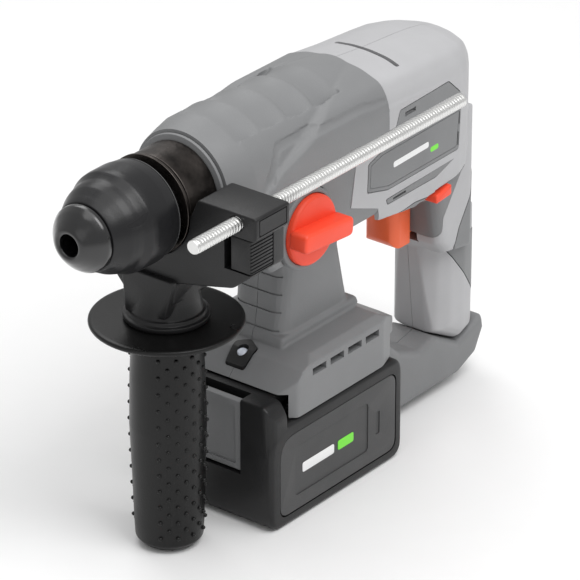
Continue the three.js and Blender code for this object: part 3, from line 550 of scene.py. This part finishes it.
def shrunk(corners, amount):
    """A convex-ish outline pulled towards its middle by about the same amount all round."""
    cx = sum(p[0] for p in corners) / len(corners)
    cz = sum(p[1] for p in corners) / len(corners)
    out = []
    for x, z in corners:
        reach = Vector((x - cx, z - cz))
        pulled = reach.normalized() * (reach.length - amount)
        out.append((cx + pulled.x, cz + pulled.y))
    return out


CHEEK_MASS = [(-176, 8), (-142, -8), (-142, -36), (-164, -41.5), (-171, -48), (-200, -52), (-245, -48),
              (-263, -30), (-263, -10), (-256, 1)]


def housing_mass():
    mass = tapered("motor_housing_mass", SHOULDERS, BARREL, BARREL_Z)
    parts = [("cheek", CHEEK_MASS, 34, 3, CHEEK_PLAN), ("yoke", YOKE, 24, 6, YOKE_PLAN),
             ("grip", GRIP, 16.5, 9, GRIP_PLAN)]
    for name, outline, half, rim, side in parts:
        part = extruded(name, outline, "xz", -half, half, rim, rim_steps=4)
        joined(mass, common(part, footprint(f"{name}_plan", side)))
    return melted(mass, 0.7, 4)


mass = housing_mass()
print("housing mass:", len(mass.data.polygons), "faces")


# %% [markdown]
# Panels on a moulded tool follow the skin under them. Each is made as a thin shell: the housing swollen a
# little, trimmed to the panel's outline, with the same housing shrunk a little taken out of its back. The
# pocket it sits in is the same outline, a touch larger, which leaves the thin dark line around it.

# %% Inlaid panels


def grown(corners, amount):
    """An outline offset outwards, corner by corner."""
    area = sum(a[0] * b[1] - b[0] * a[1] for a, b in zip(corners, corners[1:] + corners[:1]))
    turn = 1 if area > 0 else -1
    out = []
    for i, corner in enumerate(corners):
        here, before = Vector(corner[:2]), Vector(corners[i - 1][:2])
        after = Vector(corners[(i + 1) % len(corners)][:2])
        n1 = (here - before).normalized()
        n2 = (after - here).normalized()
        n1, n2 = Vector((n1.y, -n1.x)) * turn, Vector((n2.y, -n2.x)) * turn
        away = n1 + n2
        away *= amount / max(0.35, away.dot(n1))
        out.append((here.x + away.x, here.y + away.y))
    return out


def inlay(name, skin, outline, side, proud=0.0, depth=1.1, line=0.45, ease=1.2):
    """A panel that follows the skin, and the pocket for it, on one side (+1 left, -1 right)."""
    near, far = (2, 60) if side > 0 else (-60, -2)
    panel = copied(skin, name, proud)
    common(panel, extruded("trim", outline, "xz", near, far, ease=ease))
    cut(panel, copied(skin, "back", -depth))
    pocket = extruded("pocket", grown(outline, line), "xz", near, far, ease=ease)
    cut(pocket, copied(skin, "floor", -depth - 0.15))
    return panel, pocket


UPPER_PANEL = [(-187.2, 2.7), (-226.5, 3.1), (-236.4, -5.8), (-234, -8), (-184, -4.6)]
LABEL = [(-162.2, -15.6), (-172.8, -12.8), (-237.6, -13.2), (-235.3, -34.6), (-177.8, -34), (-161.5, -29.6)]
TRIM = [(-176.8, -39.1), (-232.2, -38.6), (-217, -42.4), (-177.6, -41.6)]
SURROUND = [(-172, -51), (-187, -55.5), (-209, -60), (-211, -88), (-219, -86), (-230, -85), (-233.5, -81),
            (-233.8, -72.6), (-249.4, -50.4), (-245, -47.4), (-222, -52.5), (-200, -49.5)]
OVERMOULD = [(-269.6, -60), (-258, -66), (-247, -83), (-243.6, -92), (-262, -115), (-274.2, -130),
             (-281, -131), (-281, -100), (-265, -94), (-259.3, -91.3), (-256.9, -78.1), (-262, -67)]
panels = [("upper_panel", UPPER_PANEL, 0.0), ("label_panel", LABEL, 0.1), ("trim_strip", TRIM, 0.0),
          ("trigger_surround", SURROUND, 0.15), ("grip_overmould", OVERMOULD, 0.2)]
PRINT = [("white", (-210.5, -182), (-24.6, -21.6), WHITE_PRINT), ("green", (-218.5, -212), (-28, -25.4), GREEN_PRINT)]
SLOTS = [("upper_panel", (-199.8, -191), (-1.8, 0.4)), ("trim_strip", (-192.4, -182), (-41.2, -40)),
         ("label_panel", (-236.3, -235.3), (-22, -15.6)), ("label_panel", (-235.4, -234.4), (-32.6, -25.6))]
shell = copied(mass, "motor_housing_shell")
for side, word in ((1, "left"), (-1, "right")):
    across = sorted((side * 24, side * 40))
    for label, outline, proud in panels:
        near_label = [f"label_panel_{word}"] if label == "label_panel" else []
        panel, pocket = inlay(f"{label}_{word}_skin", mass, outline, side, proud)
        cut(shell, pocket)
        for home, x, z in SLOTS:
            if home == label:
                cut(panel, block("slot", x, across, z))
                cut(shell, block("slot", x, across, z))
        if label == "label_panel":
            inner = grown(outline, -1.6)
            line = extruded("line", inner, "xz", *across, ease=1)
            cut(line, extruded("land", grown(inner, -0.35), "xz", *across, ease=1), copied(mass, "floor", -0.15))
            cut(panel, line)
            for name, x, z, material in PRINT:
                bar, pocket = inlay(f"label_bar_{name}_{word}", mass,
                                    [(x[0], z[0]), (x[1], z[0]), (x[1], z[1]), (x[0], z[1])], side, 0.12, 0.5, 0.02)
                cut(panel, pocket)
                seated(bar, "tool", material, "mid_grey_plastic")
        seated(panel, "tool", MID_GREY, "mid_grey_plastic", *near_label)
print("panels fitted on both sides")

# %% [markdown]
# The housing is hollow: the motor sits in the barrel, the switch in the yoke. Its rooms are cut out last,
# so the shell keeps an even wall and the trigger has somewhere to go.

# %% Hollow the housing and part its halves
motor_room = turned("motor_room", [
    (-258, 0), (-256, 14), (-249, 22), (-225, 26), (-200, 27), (-160, 27), (-160, 0)],
    centre=(0, 0, BARREL_Z))
rooms = [
    motor_room,
    block("cheek_room", (-190, -140), (-SIDE_ROOM, SIDE_ROOM), (-45, 5)),
    block("front_room", (COVER_END - 0.3, -140), (-SIDE_ROOM, SIDE_ROOM), (-60, 60)),
    common(extruded("yoke_room", shrunk(YOKE, 9), "xz", -16, 16),
           footprint("yoke_room_plan", [(-268, 3), (-260, 10), (-251, 16), (-170, 16)])),
    common(extruded("grip_room", shrunk(GRIP, 7), "xz", -10, 10),
           footprint("grip_room_plan", [(-275, 3), (-270, 7), (-262, 10), (-250, 10), (-244, 6), (-242, 3)])),
    block("trigger_mouth", (-246, -205), (-10.2, 10.2), (-89.5, -59)),
    block("direction_mouth", (-229.6, -216.4), (-40, 40), (-58.5, -49.5)),
    extruded("vent_arc", [(-200.4, -15), (-197.6, -15), (-197.6, 22), (-200.4, 22)], "xy", 8, 60, ease=1.2),
]
cut(shell, *rooms)
front_of_barrel = block("front", (COVER_END - 0.3, -60), (-60, 60), (-49, 60))
cheek_keep = extruded("cheek_keep", CHEEK, "xz", -40, 40)
cut(front_of_barrel, cheek_keep)
cut(shell, front_of_barrel)
for side, word in ((1, "left"), (-1, "right")):
    half = copied(shell, f"motor_housing_{word}_skin")
    y = (-60, 0.12) if side > 0 else (-0.12, 60)
    cut(half, block("other_half", (-400, 0), y, (-300, 60)))
    seated(half, "tool", LIGHT_GREY, "light_grey_plastic", f"motor_housing_{word}")
bpy.data.objects.remove(shell)
bpy.data.objects.remove(mass)

# %% [markdown]
# The column, the battery foot and the lower link of the D-handle are one darker moulding. The column is
# narrower than the foot, and a soft skirt spreads between them, so this mass is melted too.

# %% Column, foot and lower link
COLUMN = [(-118, -46.6), (-122, -62), (-121, -80), (-117, -104), (-176, -104), (-171, -84), (-166, -62),
          (-171, -46.6)]
FOOT_SIDE = [(-99, -111.5), (-99, -123.6), (-195.5, -123.6), (-195.5, -110), (-184, -103), (-172, -97),
             (-120, -97), (-110, -101)]
FOOT_PLAN = [(-195.5, 16), (-185, 31), (-171, 36), (-106, 36), (-99, 28)]
FOOT_FRONT = [(-36, -123.6), (-36, -99.5), (-31, -97), (31, -97), (36, -99.5), (36, -123.6)]
LINK = [(-189.4, -108), (-196, -112), (-203, -130), (-214, -140), (-230, -146.5), (-243, -143.8),
        (-262, -154), (-282.2, -147.2), (-283.5, -154), (-277, -166), (-262, -172), (-189.4, -172)]
LAMP = [(-103.6, -5.5), (-103.6, 5.5), (-113, 6.5), (-116.4, 0), (-113, -6.5)]
base = extruded("base_mass", COLUMN, "xz", -16, 16, 8, rim_steps=5)
foot = extruded("foot", FOOT_SIDE, "xz", -36, 36, 0.6)
common(foot, footprint("foot_plan", FOOT_PLAN), extruded("foot_front", FOOT_FRONT, "yz", -200, -90))
joined(base, foot, extruded("link", LINK, "xz", -14.5, 14.5, 3),
       extruded("collar", [(-116.6, -97.5), (-117.6, -93), (-174.5, -93), (-176.5, -97.5)], "xz", -18, 18, 2))
melted(base, 0.7, 2)
cut(base, block("top_trim", (-200, -100), (-30, 30), (-46.7, -30)),
    block("bottom_trim", (-188, -80), (-50, 50), (-180, -123.4)))
for k in range(4):
    z = -64 - 9 * k
    ring = extruded("column_groove", [(-124, z), (-100, z), (-100, z - 1), (-124, z - 1)], "xz", -13, 13)
    cut(ring, copied(base, "inside", -0.6))
    cut(base, ring)
for k in range(4):
    x = -127 - 13.5 * k
    for y in ((24, 40), (-40, -24)):
        cut(base, block("vent", (x, x + 10.3), y, (-105.6, -102)))
hollows = [
    extruded("column_room", shrunk(COLUMN, 5), "xz", -11.5, 11.5),
    block("shaft_room", (-162, -124), (-12, 12), (-120, -60)),
    block("foot_room", (-189, -80), (-32.5, 32.5), (-130, -111)),
    block("vent_room", (-170, -116), (-28, 28), (-115, -102)),
    extruded("link_room", [(-186, -150), (-192, -126), (-206, -150), (-226, -153), (-240, -152), (-258, -160),
                           (-262, -168), (-186, -168)], "xz", -10.5, 10.5),
    extruded("lamp_hole", grown(LAMP, 0.3), "xy", -115, -90, ease=1.5),
]
cut(base, *hollows)
for side, word in ((1, "left"), (-1, "right")):
    half = copied(base, f"base_housing_{word}_skin")
    y = (-60, 0.12) if side > 0 else (-0.12, 60)
    cut(half, block("other_half", (-400, 0), y, (-300, 60)))
    seated(half, "tool", MID_GREY, "mid_grey_plastic", f"base_housing_{word}")
bpy.data.objects.remove(base)
print("base housing done")

# %% [markdown]
# The mode knob is an orange disc with a thick finger bar, turning in a grey seat. The bar is a little
# tilted, as it rests between two marks.

# %% Mode knob and its seat
centre = (KNOB_X, 0, KNOB_Z)
seat = turned("mode_seat_skin", [
    (26.3, 6.3), (26.3, 19.6), (35.2, 19.6), (36, 18.8), (36, 17.3), (33.1, 17.3), (33.1, 6.3),
], "y", centre, ease=0.3)
seated(seat, "tool", MID_GREY, "mid_grey_plastic", "mode_seat")
knob = turned("mode_knob_skin", [(33.4, 0), (33.4, 17), (38, 17), (39, 16), (39.2, 0)], "y", centre, ease=0.5)
bar = extruded("bar", [(-18, -4.7), (18, -4.7), (18, 4.7), (-18, 4.7)], "xz", 38, 48, 1.4, ease=3)
for v in bar.data.vertices:
    x, y, z = (v.co.x - SEAM_X, v.co.y, v.co.z - AXIS_Z)
    v.co.x = SEAM_X + KNOB_X * MM + x * cos(0.08) - z * sin(0.08)
    v.co.z = AXIS_Z + KNOB_Z * MM + x * sin(0.08) + z * cos(0.08)
joined(knob, bar, turned("stem", [(14, 0), (14, 6), (34, 6), (34, 0)], "y", centre))
joined(knob, turned("pin", [(9.6, 0), (9.6, 1.6), (15, 1.6), (15, 0)], "y", (KNOB_X - 3.5, 0, KNOB_Z)))
seated(knob, "mode_knob", ORANGE, "orange_plastic", "mode_knob")
print("mode knob seated")

# %% [markdown]
# The trigger is a curved orange paddle, hollow at the fingers. The direction switch is a wedge that
# pokes out on both sides, and is pushed across with the thumb.

# %% Trigger and direction switch
TRIGGER = [(-211, -66), (-212, -76), (-213.5, -84), (-218, -88.2), (-228, -88.2), (-228, -60.2),
           (-214, -60.2)]
NOSE = [(-228, -9.7), (-228, 9.7), (-218, 9.7), (-213.6, 7), (-211, 0), (-213.6, -7), (-218, -9.7)]
trigger = extruded("trigger_skin", TRIGGER, "xz", -9.7, 9.7, 1.2, ease=2.4, rim_steps=4)
common(trigger, extruded("nose", NOSE, "xy", -95, -55, 0, ease=2.6))
joined(trigger, block("tail", (-236, -227), (-6, 6), (-85, -63)))
# The trigger gets the paler orange, a painted highlight on the trigger.
seated(trigger, "trigger", HIGHLIT_TRIGGER_ORANGE, "orange_plastic", "trigger")
WEDGE = [(-217, -57), (-229, -56), (-229, -50.5), (-217, -52.5)]
seated(extruded("direction_switch_skin", WEDGE, "xz", -32.4, 32.4, 0.9, ease=1.2),
       "direction_switch", ORANGE, "orange_plastic", "direction_switch")
print("controls done")

# %% [markdown]
# The lamp in the foot lights the work. A black bezel, pointed to the rear, follows the foot's slope and
# holds a clear lens.

# %% Lamp
bezel = extruded("lamp_bezel", LAMP, "xy", -112, -90, ease=1.5)
slope = [(-100, -112), (-100, -108), (-104, -105.4), (-110, -100.3), (-120, -96.4), (-120, -104), (-108, -112)]
common(bezel, extruded("slope", slope, "xz", -10, 10))
cut(bezel, turned("lens_hole", [(-110, 0), (-110, 2.8), (-90, 2.8), (-90, 0)], "z", (-110, 0, 0)))
seated(bezel, "tool", BLACK, "black_plastic", "led_bezel")
lens = turned("lamp_lens", [(-105.8, 0), (-105.8, 2.7), (-101.4, 2.7), (-100.4, 1.4), (-100.1, 0)],
              "z", (-110, 0, 0), ease=0.3)
seated(lens, "tool", LENS, "lens", "led_lens")

# %% [markdown]
# The side handle clamps on the neck with a metal band. Its black body carries the depth rod, held by a
# ribbed button, and a cup below it takes the grip's bolt.

# %% Clamp, button and depth rod
seated(turned("clamp_band_skin", [(-64.5, 21.8), (-64.5, 22.6), (-64, 22.8), (-46, 22.8), (-45.6, 22.6),
                                  (-45.6, 21.8)], ease=0.2),
       "handle_clamp", BAND, "dark_steel", "clamp_band")
ROD_Y, ROD_Z = (lambda lo, hi: ((lo.y + hi.y) / 2 / MM, ((lo.z + hi.z) / 2 - AXIS_Z) / MM))(*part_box("depth_rod"))
FACE = [(61.5, 10.2), (61.5, -0.7), (58.4, -1.5), (58.4, -19), (48, -27.5), (31.5, -31.6), (16, -35), (14, -47),
        (-14, -47), (-23, -37), (-27, -16), (-25, -2), (0, -6), (24, 0), (28.6, 10.2)]
WEB = [(16, -34), (11.4, -54), (-12.2, -56), (-14, -34)]
clamp = extruded("clamp_body_skin", FACE, "yz", -67, -43, 0.8, ease=1.5)
joined(clamp, extruded("web", WEB, "yz", -60, -40.2, 0.6, ease=1.5),
       turned("cup", [(-60.6, 0), (-60.6, 19.6), (-59.6, 20), (-58, 20), (-57.6, 18.4), (-56, 18), (-55.6, 16.8),
                      (-50, 15.6), (-40, 14.5), (-40, 0)], "z", (-55, 0, 0), ease=0.4))
cut(clamp,
    turned("neck_bore", [(-70, 0), (-70, 23.1), (-40, 23.1), (-40, 0)]),
    turned("ring_room", [(-45.2, 0), (-45.2, 24.3), (-40, 24.3), (-40, 0)]),
    turned("bell_room", [(-70, 0), (-70, 27.6), (-64.7, 27.6), (-64.7, 0)]),
    turned("rod_bore", [(-70, 0), (-70, 3.9), (-40, 3.9), (-40, 0)], centre=(0, ROD_Y, ROD_Z)),
    block("button_room", (-59.3, -40), (43.5, 70), (-18.6, -1.2)),
    turned("bolt_bore", [(-70, 0), (-70, 4.3), (-20, 4.3), (-20, 0)], "z", (-55, 0, 0)))
for line in ([(-64.6, 8.6), (-45.6, 8.6), (-45.6, 0.9), (-64.6, 0.9)],):
    outer = extruded("line", grown(line, 0.25), "xz", 60.9, 63)
    cut(outer, extruded("land", grown(line, -0.25), "xz", 60, 64))
    cut(clamp, outer)
seated(clamp, "handle_clamp", BLACK, "black_plastic", "clamp_body")

button = extruded("rod_lock_skin", [(47, -18.2), (58.4, -18.2), (58.4, -1.6), (47, -1.6)], "yz", -59, -43.2, 0.6,
                  ease=0.8)
for k in range(9):
    z = -3.2 - 1.7 * k
    cut(button, block("rib_gap", (-60, -42), (57.9, 60), (z - 0.7, z)))
seated(button, "rod_lock", BLACK, "black_plastic", "rod_lock_button")

low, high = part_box("depth_rod")
x0, x1 = drawn(low)[0], drawn(high)[0]
ridges = [(x0, 0), (x0, 2.6)]
x = x0 + 1
while x < x1 - 2.2:
    ridges += [(x, 3.5), (x + 0.7, 3.5), (x + 1.0, 3.0), (x + 1.6, 3.0)]
    x += 1.9
ridges += [(x1 - 0.5, 3.4), (x1, 3.1), (x1, 0)]
rod = turned("depth_rod_skin", ridges, centre=(0, ROD_Y, ROD_Z), sides=36)
seated(rod, "depth_rod", BRIGHT, "bright_steel", "depth_rod", crease=50)
print("clamp and depth rod done,", len(rod.data.polygons), "faces on the rod")

# %% [markdown]
# The side grip is a rubber sleeve with a broad flange that guards the hand. Its studs are real domes in
# staggered columns on two sides, with smooth strips between them, as a mould for such a grip is cut.

# %% Side grip
AXIS_X = -55
grip = turned("side_grip_skin", [
    (-176.6, 0), (-176.6, 11), (-175.8, 13.4), (-173, 15.9), (-165, 16.3), (-140, 17), (-115, 17.9),
    (-90, 17.4), (-70, 16.4), (-65.6, 17.4), (-64.4, 34), (-63.4, 35.7), (-62.4, 36), (-61.4, 35.6),
    (-61, 34), (-61, 0)], "z", (AXIS_X, 0, 0), ease=0.8, sides=128)
cut(grip, turned("bolt_room", [(-97, 0), (-97, 4.3), (-50, 4.3), (-50, 0)], "z", (AXIS_X, 0, 0)),
    turned("nut_room", [(-80, 0), (-80, 8), (-66, 8), (-66, 0)], "z", (AXIS_X, 0, 0), sides=6))


def studs(name, dome=1.05, pitch=8.4, columns=8):
    """Small domes sunk in the grip's skin, in staggered columns on two opposite sides."""
    bm = bmesh.new()
    for opposite in (0, 180):
        for i in range(columns):
            angle = radians(opposite + 25 + 14.3 * i)
            z = -76 - (pitch / 2 if i % 2 else 0)
            while z > -170:
                out = 17.75 - abs(z + 113) * 0.024
                spot = at(AXIS_X + out * cos(angle), out * sin(angle), z)
                ball = bmesh.ops.create_icosphere(bm, subdivisions=2, radius=dome * MM)
                bmesh.ops.translate(bm, verts=ball["verts"], vec=spot)
                z -= pitch
    return finished_mesh(name, bm)


joined(grip, studs("studs"))
seated(grip, "side_grip", RUBBER, "black_rubber", "side_grip")
print("side grip:", len(grip.data.polygons), "faces")

# %% [markdown]
# The battery slides on from the front. Its black shell has rounded corners, and a lighter panel is let
# into each side. Plain bars stand where a maker would print a name.

# %% Battery
FRONT, END, TOP, BOTTOM, HALF = -86.5, -187, -124.2, -177, 36
shell = extruded("battery_case_skin", [(FRONT, TOP, 14), (END, TOP), (END, BOTTOM), (FRONT, BOTTOM)], "xz",
                 -HALF + 0.3, HALF - 0.3, 2.2, ease=8, rim_steps=4)
tower = block("tower", (-183.5, FRONT - 8), (-27, 27), (TOP - 12, -112))
cut(tower, block("rail_left", (-200, -80), (24, 40), (-120.4, -117)),
    block("rail_right", (-200, -80), (-40, -24), (-120.4, -117)))
brow = [(-35.6, -140), (-35.6, -119), (-31, -112), (31, -112), (35.6, -119), (35.6, -140)]
brow = extruded("brow", brow, "yz", -98.8, FRONT - 0.1, 1.2, ease=3, rim_steps=3)
common(brow, footprint("brow_plan", [(-120, HALF - 0.3), (FRONT, HALF - 0.3)], ease=6))
joined(shell, brow, tower)
PANEL = [(FRONT - 6, TOP - 6, 11), (END + 5, TOP - 6, 6), (END + 5, BOTTOM + 5, 6), (FRONT - 6, BOTTOM + 5, 6)]
for y in ((34.4, 40), (-40, -34.4)):
    cut(shell, extruded("panel_pocket", PANEL, "xz", *y, ease=6))
cut(shell, block("release_pocket", (-95, -80), (-17, 17), (-151, -100)),
    turned("spring_room", [(-110, 0), (-110, 3.6), (-90, 3.6), (-90, 0)], centre=(0, 0, -138)),
    block("cell_room", (END + 2.6, FRONT - 2.6), (-33, 33), (BOTTOM + 2.6, -155.4)),
    block("board_room", (END + 2.6, -98), (-33, 33), (-156, -130)))
for y in (-8, 0, 8):
    cut(shell, block("blade_slot", (-190, -170), (y - 1, y + 1), (-121.5, -100)))
seated(shell, "battery", BLACK, "black_plastic", "battery_case")

for side, word in ((1, "left"), (-1, "right")):
    near, far = sorted((side * 34.5, side * 35.7))
    small = [(*grown([p[:2] for p in PANEL], -0.5)[i], p[2]) for i, p in enumerate(PANEL)]
    panel = extruded(f"battery_panel_{word}_skin", small, "xz", near, far, 0.4, ease=6)
    lab = [(-104, -138), (-160, -138), (-160, -164), (-104, -164)]
    near_pocket, far_pocket = sorted((side * 35.2, side * 40))
    cut(panel, extruded("label_pocket", lab, "xz", near_pocket, far_pocket, ease=2.5))
    cut(panel, extruded("vent_slot", [(-166, -146), (-169, -146), (-169, -158), (-166, -158)], "xz",
                        near_pocket, far_pocket, ease=0.8))
    seated(panel, "battery", DARK_GREY, "dark_grey_plastic", f"battery_panel_{word}")
    near_bar, far_bar = sorted((side * 35.15, side * 35.45))
    for label, x, z, material in (
            ("white", (-110, -134), (-149, -154), WHITE_PRINT), ("green", (-137, -149), (-149, -154), GREEN_PRINT)):
        bar = extruded(f"battery_bar_{label}_{word}", [(x[0], z[0]), (x[1], z[0]), (x[1], z[1]), (x[0], z[1])],
                       "xz", near_bar, far_bar, 0.1, ease=1.2)
        seated(bar, "battery", material, "dark_grey_plastic")
plate = extruded("release_plate_skin", [(-87, -113.4), (-91, -113.4), (-91, -150), (-87.6, -150)], "xz",
                 -16.5, 16.5, 0.7, ease=0.8)
dish = extruded("dish", [(-13.5, -116.5), (13.5, -116.5), (13.5, -147), (-13.5, -147)], "yz", -88.3, -80, ease=1.5)
cut(plate, dish)
seated(plate, "release_button", MID_GREY, "mid_grey_plastic", "release_button")
print("battery done")

# %% [markdown]
# The pieces inside the housings keep their engineered shapes. They still get the metal, carbon or winding
# they are made of, so an opened or exported tool looks right.

# %% Materials for the internal pieces
INSIDE = {
    "steel": STEEL, "bright_steel": BRIGHT, "copper": COPPER, "aluminium": ALUMINIUM,
    "carbon_black": CARBON, "circuit_board": BOARD, "cell_wrap": CELL, "dark_steel": BAND,
    "black_plastic": BLACK, "mid_grey_plastic": MID_GREY, "orange_plastic": ORANGE,
    "light_grey_plastic": LIGHT_GREY, "dark_grey_plastic": DARK_GREY, "black_rubber": RUBBER, "lens": LENS,
}
for entry in frame["record"]["subparts"]:
    node = frame["nodes"][entry["node"]]
    for place in node.material_slots:
        place.material = INSIDE[entry["material_slot"]]

# %% [markdown]
# A studio for a catalogue: a pale sweep underneath, one large soft light from above and the left, a
# weaker one in front, and a bright surround that fills the shadows.

# %% Floor, lights and camera
floor_mesh = bmesh.new()
bmesh.ops.create_grid(floor_mesh, x_segments=1, y_segments=1, size=4)
floor = finished_mesh("floor", floor_mesh)
floor.location.z = -0.0002
floor.data.materials.append(finish("pale_floor", (0.9, 0.9, 0.9), (0.7, 0.8), grain=(50, 0.01), wear=0.0, uneven=0.01))

world = bpy.data.worlds.new("studio")
bpy.context.scene.world = world
world.use_nodes = True
world.node_tree.nodes["Background"].inputs["Color"].default_value = (1, 1, 1, 1)
world.node_tree.nodes["Background"].inputs["Strength"].default_value = 0.55
bpy.context.scene.view_settings.view_transform = "Standard"

TARGET = Vector((0.0319, 0.0317, 0.1191))


def direction(azimuth, elevation):
    a, e = radians(azimuth), radians(elevation)
    return Vector((sin(a) * cos(e), -cos(a) * cos(e), sin(e)))


def area_light(name, azimuth, elevation, distance, size, power):
    data = bpy.data.lights.new(name, "AREA")
    data.size = size
    data.energy = power
    lamp = bpy.data.objects.new(name, data)
    lamp.location = TARGET + direction(azimuth, elevation) * distance
    lamp.rotation_euler = (TARGET - lamp.location).to_track_quat("-Z", "Y").to_euler()
    bpy.context.scene.collection.objects.link(lamp)


area_light("key", 178, 56, 1.3, 0.8, 9)
area_light("fill", 100, 25, 1.5, 0.8, 0.8)
area_light("rim", 330, 50, 1.4, 0.7, 4)
area_light("top", 120, 85, 1.5, 1.2, 7)

camera_data = bpy.data.cameras.new("camera")
camera_data.sensor_width = 36
camera_data.lens = 285.5
camera_data.clip_end = 20
camera = bpy.data.objects.new("camera", camera_data)
camera.location = TARGET + direction(128.07, 26.8) * 2.1
camera.rotation_euler = (TARGET - camera.location).to_track_quat("-Z", "Y").to_euler()
bpy.context.scene.collection.objects.link(camera)
bpy.context.scene.camera = camera
print("camera at", [round(v, 3) for v in camera.location])
